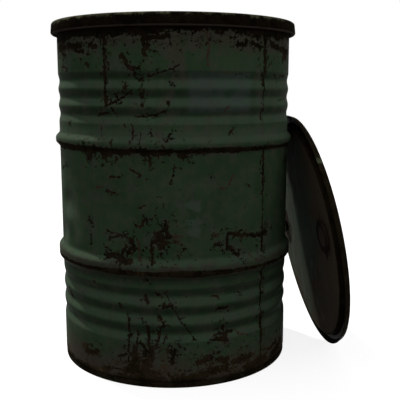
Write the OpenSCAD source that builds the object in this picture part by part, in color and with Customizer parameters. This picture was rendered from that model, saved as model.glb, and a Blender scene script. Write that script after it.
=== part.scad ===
// Open-head steel drum with its loose cover leaning against the upper rolling hoop.
// Origin on the drum's axis at the floor, +Z up, +X roughly towards the cover.

/* [Shell] */
// Outer radius of the plain wall
shell_r = 287; // [240:1:345]
// Height from the floor to the top of the rim
shell_h = 830; // [790:1:1000]
// Thickness of the shell's sheet
shell_t = 1.2; // [1:0.1:1.5]

/* [Rim curl] */
// How far the rolled rim stands out from the wall
curl_out = 14.7; // [12:0.1:18]
// Height of the rolled rim
curl_h = 30; // [25:0.5:36]
// Bend radius over the top of the rim, at mid sheet
curl_top_bend = 6.4; // [5.3:0.1:7]
// Gap between the curl's tucked-in end and the wall
curl_gap = 0.5; // [0.3:0.1:1.5]

/* [Rolling hoops] */
// How far a rolling hoop stands out from the wall
hoop_out = 9.8; // [8:0.1:12]
// Height of the middle of the upper hoop above the floor
upper_hoop_z = 552; // [520:1:560]
// Width of the upper hoop
upper_hoop_w = 38; // [32:1:46]
// Height of the middle of the lower hoop above the floor
lower_hoop_z = 275; // [270:1:320]
// Width of the lower hoop
lower_hoop_w = 48; // [40:1:50]
// Width of each sloping side of a hoop
hoop_flank = 15; // [10:1:16]

/* [Stiffening beads] */
// Depth of the rolled-in beads
bead_depth = 3.2; // [1.5:0.1:4]
// Beads in each band
bead_count = 3; // [1:1:3]
// Pitch of the upper band's beads
upper_bead_pitch = 39; // [32:1:42]
// Height of the upper band's top edge
upper_band_z = 711; // [705:1:760]
// Pitch of the lower band's beads
lower_bead_pitch = 43; // [35:1:45]
// Height of the lower band's top edge
lower_band_z = 235; // [228:1:242]

/* [Bottom seam] */
// Thickness of the bottom's sheet
bottom_t = 1.2; // [1:0.1:1.4]
// How far the seam's face lies inside the plain wall's face
seam_inset = 0.7; // [0:0.1:3]
// Height of the double seam
seam_h = 12; // [10:0.5:14]
// Height of the bottom's underside above the floor
bottom_z = 19.4; // [16:0.1:30]
// Play between neighbouring layers of the seam
seam_play = 0.15; // [0.1:0.01:0.3]
// Bend radius of the seam's corners at the floor, at mid sheet
foot_bend = 1.8; // [1.2:0.1:2.4]

/* [Cover] */
// Thickness of the cover's sheet
cover_t = 1.2; // [1:0.1:1.5]
// Radial play between the top of the rim and the cover's skirt
cover_play = 1.2; // [0.8:0.1:3]
// How far the skirt flares out towards its lip
skirt_flare = 5; // [2:0.5:8]
// Height of the skirt
skirt_h = 15; // [12:0.5:18]
// How far the panel stands out past the lip
panel_out = 5; // [2:0.5:9]
// Radial play between the mouth and the cover's sunk panel
sink_play = 2.2; // [1:0.1:4]
// Bend radius of the cover's corners, at mid sheet
cover_bend = 2.5; // [2:0.1:3]
// Thickness of the gasket in the cover's channel
gasket_t = 5; // [3:0.5:7]
// Lean of the cover from upright
cover_lean = 10.4; // [8:0.1:16]
// Direction of the cover from the drum's axis
cover_turn = 4.2; // [-30:0.1:30]
// Play between the cover's panel and the hoop that it rests on
rest_play = 0.3; // [0.1:0.1:0.5]

/* [Fittings] */
// Distance of the two fittings from the cover's centre
fitting_r = 205; // [180:1:225]
// Turn of the line through the fittings from level
fitting_turn = 7; // [-90:1:90]
// Thread radius of the large opening
bung_r = 29.8; // [25:0.1:32]
// Radius of the large insert's base
bung_base_r = 38.5; // [38:0.1:46]
// Thread radius of the small opening
vent_r = 13.2; // [11:0.1:15]
// Radius of the small insert's base
vent_base_r = 22; // [21.5:0.1:26]
// Wall between the thread and the outside of an insert's neck
neck_wall = 3.4; // [2.5:0.1:4]
// Thickness of an insert's base
base_t = 4.5; // [3:0.5:7]
// Thickness of the flat gaskets
washer_t = 2; // [1:0.5:3]
// How far an insert's neck stands above the panel
neck_out = 9; // [6:0.5:14]
// Radial play of a plug in its insert
thread_play = 0.15; // [0.1:0.01:0.3]
// Radial play of a neck in the panel's hole
neck_play = 0.3; // [0.1:0.1:0.5]
// Thickness of a plug's head
head_t = 3; // [2:0.5:5]
// Wall of a plug's cup
cup_t = 2; // [1.5:0.1:2.5]
// Width of the wrench lugs in a plug's cup
lug_w = 6; // [3:0.5:8]

/* [Hidden] */
$fn = 96;

// Shell: mid-sheet radius of the wall, and the radius of the mouth
wall_m = shell_r - shell_t / 2;
mouth_r = shell_r - shell_t;

// Rim: mid-sheet radii of its outermost point and of the bend under it
curl_m = shell_r + curl_out - shell_t / 2;
curl_low_bend = (curl_out - curl_gap - shell_t) / 2;

// Seam: spacing and mid-sheet radii of its layers from the outside in, and the heights of its folds
layer = (shell_t + bottom_t) / 2 + seam_play;
outer_leg = shell_r - seam_inset - bottom_t / 2;
body_hook = outer_leg - layer;
head_hook = body_hook - layer;
body_leg = head_hook - layer;
inner_leg = body_leg - layer;
fold_z = 2 * layer + bottom_t / 2;
crest_z = seam_h - layer - bottom_t / 2;

// Cover: outer radii of its crown, its lip and its sunk panel
crown_r = wall_m + 2 * curl_top_bend + shell_t / 2 + cover_play + cover_t;
lip_r = crown_r + skirt_flare;
sink_r = mouth_r - sink_play;

// Points on an arc of radius r about c, from angle a to angle b
function arc(c, r, a, b, n) = [for (i = [0 : n]) let (w = a + (b - a) * i / n) c + r * [cos(w), sin(w)]];

// Ramp from 0 to 1 with level ends
function ramp(u) = u * u * (3 - 2 * u);

// Mid-sheet points of the rim, from the curl's tucked-in end up and over to the wall
function curl() = let (
    low = [curl_m - curl_low_bend, shell_h - curl_h + shell_t / 2 + curl_low_bend],
    top = [wall_m + curl_top_bend, shell_h - shell_t / 2 - curl_top_bend])
    concat(arc(low, curl_low_bend, -170, -10, 10), arc(top, curl_top_bend, 0, 180, 10));

// Mid-sheet points of a hoop about height z, going down
function hoop(z, w) = concat(
    [for (i = [0 : 6]) [wall_m + hoop_out * ramp(i / 6), z + w / 2 - hoop_flank * i / 6]],
    [for (i = [6 : -1 : 0]) [wall_m + hoop_out * ramp(i / 6), z - w / 2 + hoop_flank * i / 6]]);

// Mid-sheet points of a band of beads, going down from height z
function beads(z, pitch) = [for (i = [0 : 8 * bead_count])
    [wall_m - bead_depth * (1 - cos(45 * i)) / 2, z - pitch * i / 8]];

// Unit normal on the left of the way from a to b
function side(a, b) = let (d = (b - a) / norm(b - a)) [-d[1], d[0]];

// The path p moved sideways by s, with mitred corners
function beside(p, s) = let (last = len(p) - 1) [for (i = [0 : last])
    let (m = side(p[max(i - 1, 0)], p[max(i, 1)]), n = side(p[min(i, last - 1)], p[min(i + 1, last)]))
    p[i] + s * (m + n) / (1 + m * n)];

function backwards(p) = [for (i = [len(p) - 1 : -1 : 0]) p[i]];

// Bent sheet of thickness t, spun about Z along the mid-sheet path p
module sheet(p, t) {
    rotate_extrude($fn = 128) polygon(concat(beside(p, t / 2), backwards(beside(p, -t / 2))));
}

// Flat ring from radius a to radius b, standing on height z
module ring(a, b, z, h) {
    translate([0, 0, z]) difference() {
        cylinder(r = b, h = h);
        translate([0, 0, -1]) cylinder(r = a, h = h + 2);
    }
}

// Rolled shell: curl at the rim, beads, hoops, beads, and the hook that the bottom's seam grips
module body_shell() {
    step_top = seam_h + 6;
    step_foot = seam_h + 1.5;
    color("darkslategray") sheet(concat(
        curl(),
        beads(upper_band_z, upper_bead_pitch),
        hoop(upper_hoop_z, upper_hoop_w),
        hoop(lower_hoop_z, lower_hoop_w),
        beads(lower_band_z, lower_bead_pitch),
        [[wall_m, step_top], [body_leg, step_foot]],
        arc([head_hook, fold_z], layer, 180, 360, 8),
        [[body_hook, crest_z]]), shell_t);
}

// Pressed bottom: panel, sunk wall and the outer part of the double seam
module bottom_head() {
    corner = 3;
    panel = bottom_z + bottom_t / 2;
    foot_z = bottom_t / 2 + foot_bend;
    color("dimgray") sheet(concat(
        [[0, panel]],
        arc([inner_leg - corner, panel - corner], corner, 90, 0, 4),
        arc([inner_leg + foot_bend, foot_z], foot_bend, 180, 270, 4),
        arc([outer_leg - foot_bend, foot_z], foot_bend, 270, 360, 4),
        arc([body_hook, crest_z], layer, 0, 180, 8),
        [[head_hook, fold_z]]), bottom_t);
}

// The cover stands on the edge of its lip. Its panel leans on the upper hoop, or its lip leans on
// the wall or rim where it is tall enough to meet that first.
// Its own frame has the lip's plane at z = 0, the outside of the cover at +z and up the slope at -x.
module leaning() {
    axis = [cos(cover_lean), sin(cover_lean)];
    top_z = 2 * lip_r * cos(cover_lean);
    wall_top = [wall_m, min(top_z, shell_h - curl_h)];
    on_panel = max([for (p = hoop(upper_hoop_z, upper_hoop_w)) p * axis]);
    on_lip = max([for (p = concat([wall_top], curl())) if (p[1] <= top_z) p * axis]);
    lip_d = max(on_panel + panel_out, on_lip) + shell_t / 2 + rest_play;
    rise = lip_r - lip_d * tan(cover_lean);
    rotate([0, 90 - cover_lean, cover_turn]) translate([-rise, 0, lip_d]) children();
}

// Puts its children at the large opening, or with turn = 180 at the small one
module at_fitting(turn) {
    rotate([0, 0, turn - 90 - fitting_turn]) translate([fitting_r, 0, 0]) children();
}

// Cut through the panel for the neck of the insert around a thread of radius r
module hole(r) {
    translate([0, 0, -panel_out - 1]) cylinder(r = neck_r(r) + neck_play, h = cover_t + 2);
}

// Pressed cover: sunk panel with two holes, gasket channel, and a flared skirt with a straight lip
module cover() {
    land = 2;
    panel = cover_t / 2 - panel_out;
    sink_m = sink_r - cover_t / 2;
    crown_m = crown_r - cover_t / 2;
    bend_z = skirt_h - cover_t / 2 - cover_bend;
    color("darkslategray") leaning() difference() {
        sheet(concat(
            [[0, panel]],
            arc([sink_m - cover_bend, panel + cover_bend], cover_bend, -90, 0, 4),
            arc([sink_m + cover_bend, bend_z], cover_bend, 180, 90, 4),
            arc([crown_m - cover_bend, bend_z], cover_bend, 90, 15, 4),
            [[lip_r - cover_t / 2, land], [lip_r - cover_t / 2, 0]]), cover_t);
        at_fitting(0) hole(bung_r);
        at_fitting(180) hole(vent_r);
    }
}

// Rubber ring with round edges, seated against the top of the channel
module cover_gasket() {
    top = skirt_h - cover_t;
    inner = sink_r + cover_bend;
    outer = crown_r - cover_t - cover_bend;
    edge = gasket_t / 2;
    color("black") leaning() rotate_extrude($fn = 128) polygon(concat(
        arc([inner + edge, top - edge], edge, 90, 270, 8),
        arc([outer - edge, top - edge], edge, -90, 90, 8)));
}

// Outer radius of the insert's neck around a thread of radius r
function neck_r(r) = r + thread_play + neck_wall;

// Heights in the cover's frame: inside face of the panel, top of the insert's base, top of its neck
panel_z = -panel_out;
base_z = panel_z - washer_t;
neck_z = panel_z + cover_t + neck_out;

// Insert: a base under the panel and a neck up through it, bored for the plug
module insert(r, base_r) {
    foot = base_z - base_t;
    color("saddlebrown") difference() {
        union() {
            translate([0, 0, foot]) cylinder(r = base_r, h = base_t);
            translate([0, 0, foot]) cylinder(r = neck_r(r), h = neck_z - foot);
        }
        translate([0, 0, foot - 1]) cylinder(r = r + thread_play, h = neck_z - foot + 2);
    }
}

// Gasket between the insert's base and the panel
module insert_gasket(r, base_r) {
    margin = 1.5;
    color("black") ring(neck_r(r) + neck_play, base_r - margin, base_z, washer_t);
}

// Plug: a drawn cup with a flat head over the neck and two lugs inside for the wrench
module plug(r) {
    recess = 1;
    overhang = 1;
    foot = base_z - base_t + recess;
    head = neck_z + washer_t;
    well = r - cup_t;
    lug_from = well * 0.6;
    color("saddlebrown") {
        difference() {
            union() {
                translate([0, 0, foot]) cylinder(r = r, h = head - foot);
                translate([0, 0, head]) cylinder(r = neck_r(r) + overhang, h = head_t);
            }
            translate([0, 0, foot + cup_t]) cylinder(r = well, h = head + head_t - foot);
        }
        intersection() {
            translate([0, 0, foot + cup_t / 2]) cylinder(r = r - cup_t / 2, h = head - foot - cup_t);
            for (turn = [0, 180]) rotate([0, 0, turn])
                translate([lug_from, -lug_w / 2, foot]) cube([r - lug_from, lug_w, head - foot]);
        }
    }
}

// Gasket between the neck's end and the plug's head
module plug_gasket(r) {
    color("black") ring(r + thread_play, neck_r(r), neck_z, washer_t);
}

module bung_flange() { leaning() at_fitting(0) insert(bung_r, bung_base_r); }
module bung_flange_gasket() { leaning() at_fitting(0) insert_gasket(bung_r, bung_base_r); }
module bung_plug() { leaning() at_fitting(0) plug(bung_r); }
module bung_plug_gasket() { leaning() at_fitting(0) plug_gasket(bung_r); }
module vent_flange() { leaning() at_fitting(180) insert(vent_r, vent_base_r); }
module vent_flange_gasket() { leaning() at_fitting(180) insert_gasket(vent_r, vent_base_r); }
module vent_plug() { leaning() at_fitting(180) plug(vent_r); }
module vent_plug_gasket() { leaning() at_fitting(180) plug_gasket(vent_r); }

body_shell();
bottom_head();
cover();
cover_gasket();
bung_flange();
bung_flange_gasket();
bung_plug();
bung_plug_gasket();
vent_flange();
vent_flange_gasket();
vent_plug();
vent_plug_gasket();
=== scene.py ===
# Open-head steel drum in dark green paint, rusted along its rim, hoops, side weld and foot,
# with its loose cover leaning on its upper hoop. Metres throughout, with the drum's axis on Z.
import math

import bpy
from mathutils import Euler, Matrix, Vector


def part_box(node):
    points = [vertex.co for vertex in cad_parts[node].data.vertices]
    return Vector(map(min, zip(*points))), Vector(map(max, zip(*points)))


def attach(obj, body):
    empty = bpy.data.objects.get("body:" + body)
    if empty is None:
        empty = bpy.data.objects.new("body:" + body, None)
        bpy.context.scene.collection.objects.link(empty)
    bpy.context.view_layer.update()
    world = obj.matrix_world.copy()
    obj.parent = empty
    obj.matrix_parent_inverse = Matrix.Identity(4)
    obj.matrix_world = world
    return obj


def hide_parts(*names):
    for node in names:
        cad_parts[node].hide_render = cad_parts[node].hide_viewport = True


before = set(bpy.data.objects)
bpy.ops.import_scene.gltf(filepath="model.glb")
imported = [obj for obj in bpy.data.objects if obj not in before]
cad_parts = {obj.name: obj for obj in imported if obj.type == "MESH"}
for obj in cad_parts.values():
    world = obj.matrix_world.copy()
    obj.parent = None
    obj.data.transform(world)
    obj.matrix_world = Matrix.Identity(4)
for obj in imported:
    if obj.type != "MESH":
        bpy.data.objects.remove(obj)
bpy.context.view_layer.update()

# -------------------------------------------------- Body shell
# One sheet of mild steel rolled into a tube and welded down its side. Its rim is curled outward, two
# hoops and two bands of beads are rolled into it, and its foot is folded into the bottom's seam.
# It is painted dark green outside, and it has rusted wherever water stood or the paint was broken.
mm = 0.001
shell_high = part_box("body_shell")[1]
shell_h = shell_high.z
curl_out = 14.7 * mm
shell_r = shell_high.x - curl_out
shell_t = 1.2 * mm
curl_h = 30 * mm
curl_top_bend = 6.4 * mm
curl_gap = 0.5 * mm
curl_low_bend = (curl_out - curl_gap - shell_t) / 2
hoop_out = 9.8 * mm
hoop_flank = 15 * mm
upper_hoop_z, upper_hoop_w = 552 * mm, 38 * mm
lower_hoop_z, lower_hoop_w = 275 * mm, 48 * mm
bead_depth, bead_count = 3.2 * mm, 3
upper_band_z, upper_bead_pitch = 711 * mm, 39 * mm
lower_band_z, lower_bead_pitch = 235 * mm, 43 * mm
seam_h, seam_inset, seam_play = 12 * mm, 0.7 * mm, 0.15 * mm
seam_layer = shell_t + seam_play
seam_outer_leg = shell_r - seam_inset - shell_t / 2
body_hook, head_hook, body_leg = [seam_outer_leg - i * seam_layer for i in (1, 2, 3)]
fold_z = 2 * seam_layer + shell_t / 2
crest_z = seam_h - seam_layer - shell_t / 2
wall_m = shell_r - shell_t / 2
curl_m = shell_r + curl_out - shell_t / 2


def arc(x, z, r, start, end, steps):
    """Points on an arc about (x, z), from one angle in degrees to the other."""
    angles = [math.radians(start + (end - start) * i / steps) for i in range(steps + 1)]
    return [(x + r * math.cos(a), z + r * math.sin(a)) for a in angles]


def wall(top, bottom, pitch=8 * mm):
    """Points down the plain wall, between two heights and close enough together to be dented."""
    steps = math.ceil((top - bottom) / pitch)
    return [(wall_m, top + (bottom - top) * i / steps) for i in range(1, steps)]


def hoop(z, width, steps=8):
    """Points over a rolling hoop, going down."""
    rise = [(u / steps) ** 2 * (3 - 2 * u / steps) for u in range(steps + 1)]
    top = [(wall_m + hoop_out * r, z + width / 2 - hoop_flank * i / steps) for i, r in enumerate(rise)]
    low = [(r, 2 * z - height) for r, height in reversed(top)]
    return top + low


def beads(z, pitch, steps=12):
    """Points down a band of beads, each a cosine deep, going down from height z."""
    return [(wall_m - bead_depth * (1 - math.cos(math.tau * i / steps)) / 2, z - pitch * i / steps)
            for i in range(bead_count * steps + 1)]


def beside(path, shift):
    """The path moved sideways, with mitred corners."""
    ends = [Vector(p) for p in path]
    sides = [Vector((a.y - b.y, b.x - a.x)).normalized() for a, b in zip(ends, ends[1:])]
    corners = zip(ends, sides[:1] + sides, sides + sides[-1:])
    return [tuple(p + shift * (m + n) / (1 + m.dot(n))) for p, m, n in corners]


def sheet(path, thickness):
    """The outline of a bent sheet about its middle line: its first side, and back along its second."""
    return beside(path, thickness / 2) + beside(path, -thickness / 2)[::-1]


class Wiring:
    """Adds nodes to a tree. What a node is given is a plain value, or another node's output."""

    def __init__(self, tree):
        self.tree = tree

    def add(self, kind, inputs=None, **settings):
        node = self.tree.nodes.new(kind)
        for name, value in settings.items():
            setattr(node, name, value)
        for key, value in (inputs or {}).items():
            self.give(node.inputs[key], value)
        return node

    def give(self, socket, value):
        if isinstance(value, bpy.types.NodeSocket):
            self.tree.links.new(value, socket)
        else:
            socket.default_value = value

    def math(self, operation, *values):
        node = self.add("ShaderNodeMath", operation=operation)
        for socket, value in zip(node.inputs, values):
            self.give(socket, value)
        return node.outputs[0]

    def plus(self, first, second):
        return self.math("ADD", first, second)

    def minus(self, first, second):
        return self.math("SUBTRACT", first, second)

    def product(self, first, second):
        return self.math("MULTIPLY", first, second)

    def over(self, first, second):
        return self.math("DIVIDE", first, second)

    def vector(self, operation, *values):
        node = self.add("ShaderNodeVectorMath", operation=operation)
        for socket, value in zip(node.inputs, values):
            self.give(socket, value)
        return node.outputs["Value" if operation in ("DOT_PRODUCT", "LENGTH", "DISTANCE") else "Vector"]

    def times(self, vector, factor):
        node = self.add("ShaderNodeVectorMath", operation="SCALE")
        self.give(node.inputs["Vector"], vector)
        self.give(node.inputs["Scale"], factor)
        return node.outputs["Vector"]

    def most(self, *values):
        """The greatest of the values."""
        greatest = values[0]
        for value in values[1:]:
            greatest = self.math("MAXIMUM", greatest, value)
        return greatest

    def apart(self, first, second):
        """How far apart two values are."""
        return self.math("ABSOLUTE", self.minus(first, second))

    def parts(self, vector):
        """The X, Y and Z of a vector."""
        return self.add("ShaderNodeSeparateXYZ", {"Vector": vector}).outputs

    def flat(self, x, y):
        """The vector of an X and a Y."""
        return self.add("ShaderNodeCombineXYZ", {"X": x, "Y": y}).outputs[0]

    def rag(self, noise, amount):
        """Noise about 0, to fray an edge by."""
        return self.product(self.minus(noise, 0.5), amount)

    def blend(self, amount, first, second):
        node = self.add("ShaderNodeMix", {0: amount, 6: first, 7: second}, data_type="RGBA")
        return node.outputs[2]

    def blend_value(self, amount, first, second):
        return self.add("ShaderNodeMix", {0: amount, 2: first, 3: second}, data_type="FLOAT").outputs[0]

    def fade(self, value, low, high, start=0, end=1):
        """Goes smoothly from start, where value is low, to end, where it is high."""
        inputs = {"Value": value, "From Min": low, "From Max": high, "To Min": start, "To Max": end}
        return self.add("ShaderNodeMapRange", inputs, interpolation_type="SMOOTHSTEP").outputs[0]

    def noise(self, place, scale, detail=3, roughness=0.55, output=0):
        inputs = {"Vector": place, "Scale": scale, "Detail": detail, "Roughness": roughness}
        return self.add("ShaderNodeTexNoise", inputs).outputs[output]

    def use(self, group, **inputs):
        kind = "GeometryNodeGroup" if group.bl_idname == "GeometryNodeTree" else "ShaderNodeGroup"
        node = self.add(kind, node_tree=group)
        for name, value in inputs.items():
            self.give(node.inputs[name.replace("_", " ")], value)
        return node.outputs


def new_tree(name, kind, inputs, outputs):
    """An empty group of nodes with named inputs and outputs, its wiring, and its two ends."""
    tree = bpy.data.node_groups.new(name, kind)
    for direction, sockets in (("INPUT", inputs), ("OUTPUT", outputs)):
        for label, form in sockets.items():
            tree.interface.new_socket(label, in_out=direction, socket_type="NodeSocket" + form)
    wiring = Wiring(tree)
    start = wiring.add("NodeGroupInput").outputs
    end = wiring.add("NodeGroupOutput").inputs
    return tree, wiring, start, end


def points_of(w, given, columns):
    """A grid of as many columns as given, each a copy of a line of points: the grid, and each of its
    points' column, row and place on the line."""
    rows = given["Points"]
    grid = w.add("GeometryNodeMeshGrid", {"Vertices X": columns, "Vertices Y": rows}).outputs["Mesh"]
    index = w.add("GeometryNodeInputIndex").outputs[0]
    row = w.math("MODULO", index, rows)
    line = w.add("GeometryNodeSampleIndex", data_type="FLOAT_VECTOR")
    w.give(line.inputs["Geometry"], given["Geometry"])
    w.give(line.inputs["Value"], w.add("GeometryNodeInputPosition").outputs[0])
    w.give(line.inputs["Index"], row)
    return grid, w.math("FLOOR", w.over(index, rows)), row, line.outputs[0]


def turned_by(w, geometry, places, angle):
    """The geometry with its points at these places, turned about Z."""
    turn = {"Vector": places, "Angle": angle}
    turned = w.add("ShaderNodeVectorRotate", turn, rotation_type="Z_AXIS").outputs[0]
    return w.add("GeometryNodeSetPosition", {"Geometry": geometry, "Position": turned}).outputs[0]


def closed_skin(w, geometry):
    """The geometry with its edges joined, its faces outward, and smooth."""
    joined = w.add("GeometryNodeMergeByDistance", {"Geometry": geometry, "Distance": 0.005 * mm})
    outward = w.add("GeometryNodeFlipFaces", {"Mesh": joined.outputs[0]})
    return w.add("GeometryNodeSetShadeSmooth", {"Geometry": outward.outputs[0]}).outputs[0]


def finish_tree(w, geometry, given, result):
    """Gives a tree's geometry its material, as plain mesh."""
    real = w.add("GeometryNodeRealizeInstances", {"Geometry": geometry}).outputs[0]
    finished = w.add("GeometryNodeSetMaterial", {"Geometry": real, "Material": given["Finish"]})
    w.give(result["Geometry"], finished.outputs[0])


def roll_tree():
    """Turns a section, which is a row of points in the XZ plane, round the Z axis into a skin."""
    inputs = {"Geometry": "Geometry", "Points": "Int", "Steps": "Int", "Inner From": "Int",
              "Finish": "Material"}
    tree, w, given, result = new_tree("roll section", "GeometryNodeTree", inputs, {"Geometry": "Geometry"})
    grid, column, row, place = points_of(w, given, w.plus(given["Steps"], 1))
    skin = turned_by(w, grid, place, w.over(w.product(column, math.tau), given["Steps"]))
    inner = w.math("GREATER_THAN", row, w.minus(given["Inner From"], 0.5))
    named = w.add("GeometryNodeStoreNamedAttribute", {"Geometry": skin, "Name": "inner"})
    w.give(named.inputs["Value"], inner)
    finish_tree(w, closed_skin(w, named.outputs[0]), given, result)
    return tree


def knock_tree():
    """Knocks one shallow dent into a wall: a soft hollow about a place on it, pushed straight in."""
    inputs = {"Geometry": "Geometry", "Angle": "Float", "Height": "Float", "Half Width": "Float",
              "Half Height": "Float", "Depth": "Float", "Finish": "Material"}
    tree, w, given, result = new_tree("knock dent", "GeometryNodeTree", inputs, {"Geometry": "Geometry"})
    position = w.add("GeometryNodeInputPosition").outputs[0]
    x, y, z = w.parts(position)
    angle = w.math("ARCTAN2", x, w.product(y, -1))
    across = w.over(w.product(w.minus(angle, given["Angle"]), shell_r), given["Half Width"])
    along = w.over(w.minus(z, given["Height"]), given["Half Height"])
    reach = w.vector("LENGTH", w.flat(across, along))
    inward = w.vector("NORMALIZE", w.vector("MULTIPLY", position, (-1, -1, 0)))
    push = w.times(inward, w.fade(reach, 0, 1, given["Depth"], 0))
    moved = w.add("GeometryNodeSetPosition", {"Geometry": given["Geometry"], "Offset": push})
    finish_tree(w, moved.outputs[0], given, result)
    return tree


ROLL = roll_tree()
KNOCK = knock_tree()


def shape_with(piece, tree, **values):
    """Puts a tree of geometry nodes on a piece, with values for its named inputs."""
    modifier = piece.modifiers.new(tree.name, "NODES")
    modifier.node_group = tree
    sockets = {s.name: s.identifier for s in tree.interface.items_tree if s.in_out == "INPUT"}
    for name, value in values.items():
        modifier[sockets[name.replace("_", " ")]] = value


def settle(piece):
    """Makes what the piece's modifiers give into its own plain mesh."""
    bpy.context.view_layer.update()
    graph = bpy.context.evaluated_depsgraph_get()
    mesh = bpy.data.meshes.new_from_object(piece.evaluated_get(graph))
    piece.modifiers.clear()
    piece.data = mesh
    mesh.name = piece.name
    return piece


def add_piece(name, points, edges, faces):
    mesh = bpy.data.meshes.new(name)
    mesh.from_pydata(points, edges, faces)
    piece = bpy.data.objects.new(name, mesh)
    bpy.context.scene.collection.objects.link(piece)
    return piece


def add_line(name, points):
    return add_piece(name, points, [(i, i + 1) for i in range(len(points) - 1)], [])


def place_tree():
    """Where a point is on the drum: as distances round and up the wall, and how proud it stands of it."""
    outputs = {"On Wall": "Vector", "Angle": "Float", "Height": "Float", "Proud": "Float",
               "Point": "Vector"}
    tree, w, given, result = new_tree("place on drum", "ShaderNodeTree", {}, outputs)
    point = w.add("ShaderNodeTexCoord").outputs["Object"]
    x, y, z = w.parts(point)
    angle = w.math("ARCTAN2", x, w.product(y, -1))
    radius = w.vector("LENGTH", w.vector("MULTIPLY", point, (1, 1, 0)))
    w.give(result["On Wall"], w.flat(w.product(angle, shell_r), z))
    w.give(result["Angle"], w.product(angle, 180 / math.pi))
    w.give(result["Height"], z)
    w.give(result["Proud"], w.minus(radius, shell_r))
    w.give(result["Point"], point)
    return tree


def stroke_tree():
    """A straight mark between two places: 1 along its middle, 0 at its edge, and less beyond."""
    inputs = {"Place": "Vector", "From": "Vector", "To": "Vector", "Half Width": "Float"}
    tree, w, given, result = new_tree("stroke", "ShaderNodeTree", inputs, {"Field": "Float"})
    way = w.vector("SUBTRACT", given["To"], given["From"])
    lead = w.vector("SUBTRACT", given["Place"], given["From"])
    length = w.plus(w.vector("DOT_PRODUCT", way, way), 1e-9)
    share = w.over(w.vector("DOT_PRODUCT", lead, way), length)
    share = w.math("MINIMUM", w.math("MAXIMUM", share, 0), 1)
    off = w.vector("DISTANCE", lead, w.times(way, share))
    w.give(result["Field"], w.minus(1, w.over(off, given["Half Width"])))
    return tree


def patch_tree():
    """A round or oval patch: 1 at its middle, 0 at its edge, and less beyond."""
    inputs = {"Place": "Vector", "Middle": "Vector", "Half Size": "Vector"}
    tree, w, given, result = new_tree("patch", "ShaderNodeTree", inputs, {"Field": "Float"})
    off = w.vector("DIVIDE", w.vector("SUBTRACT", given["Place"], given["Middle"]), given["Half Size"])
    w.give(result["Field"], w.minus(1, w.vector("LENGTH", off)))
    return tree


def rust_tree():
    """Rust in its colours, from nearly black through brown to a little ochre, and how it is pitted."""
    inputs = {"Point": "Vector", "Deep": "Color", "Brown": "Color", "Ochre": "Color"}
    outputs = {"Colour": "Color", "Pits": "Float"}
    tree, w, given, result = new_tree("rust", "ShaderNodeTree", inputs, outputs)
    clouds = w.noise(given["Point"], 30, 5, 0.65)
    grains = w.noise(given["Point"], 300, 3, 0.7)
    colour = w.blend(w.fade(clouds, 0.40, 0.60), given["Deep"], given["Brown"])
    bloom = w.fade(w.noise(given["Point"], 75, 4, 0.6), 0.58, 0.74, 0, 0.7)
    colour = w.blend(w.product(bloom, w.fade(clouds, 0.45, 0.6)), colour, given["Ochre"])
    w.give(result["Colour"], w.times(colour, w.fade(grains, 0.3, 0.7, 0.7, 1.3)))
    w.give(result["Pits"], w.plus(grains, clouds))
    return tree


def runs_tree():
    """Fine upright streaks, as water leaves on a wall, from 0 to 1."""
    inputs = {"Point": "Vector", "Scale": "Float", "Clear": "Float"}
    tree, w, given, result = new_tree("water runs", "ShaderNodeTree", inputs, {"Mask": "Float"})
    tall = w.add("ShaderNodeMapping", {"Vector": given["Point"], "Scale": (1, 1, 0.08)}).outputs[0]
    fine = w.noise(tall, given["Scale"], 3, 0.6)
    w.give(result["Mask"], w.fade(fine, given["Clear"], w.plus(given["Clear"], 0.28)))
    return tree


PLACE = place_tree()
STROKE = stroke_tree()
PATCH = patch_tree()
RUST = rust_tree()
RUNS = runs_tree()

# Marks that went through the paint: half the mark's width in millimetres, then the places it passes.
# A place is in degrees round the drum from its front, the weld being at 45, and millimetres up it.
WELD_RUNS = [
    (5.4, (45, 800), (45.3, 712)), (3.6, (45.3, 712), (44.9, 681)), (1.7, (45, 681), (44.6, 622)),
    (3.6, (44.9, 538), (44.9, 440)), (1.3, (44.8, 440), (44.8, 395)), (1.6, (44.8, 385), (44.8, 356)),
    (3.6, (44.9, 356), (44.8, 300)), (3.2, (44.9, 262), (44.7, 198)), (1.5, (44.7, 198), (45, 150)),
    (4.4, (45, 150), (45.2, 82)), (3.0, (45.2, 82), (45, 10)),
]
RUNS_DOWN = [
    (4.5, (-31.3, 784), (-31.3, 705)), (3.2, (-31.3, 705), (-31.6, 658)),
    (5.0, (-31.5, 655), (-31.3, 637)), (5.0, (-13, 787), (-13, 768), (-12.6, 742)),
    (6.0, (-10.8, 762), (-11.4, 758)), (3.2, (-4.2, 388), (-3.6, 352)), (3.4, (-10.3, 338), (-9.8, 291)),
    (2.4, (-21.4, 160), (-21.8, 60)), (3.6, (-12.6, 146), (-11.0, 62)), (2.2, (-17.4, 132), (-17.6, 88)),
    (3.2, (24, 350), (24, 318)), (3.6, (-10.8, 530), (-10.2, 510)), (2.0, (-18.4, 592), (-18, 563)),
    (1.2, (-14.6, 577), (-14.6, 556)), (1.0, (59.5, 477), (59.7, 458)), (2.2, (-42, 345), (-41.6, 320)),
]
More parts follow.
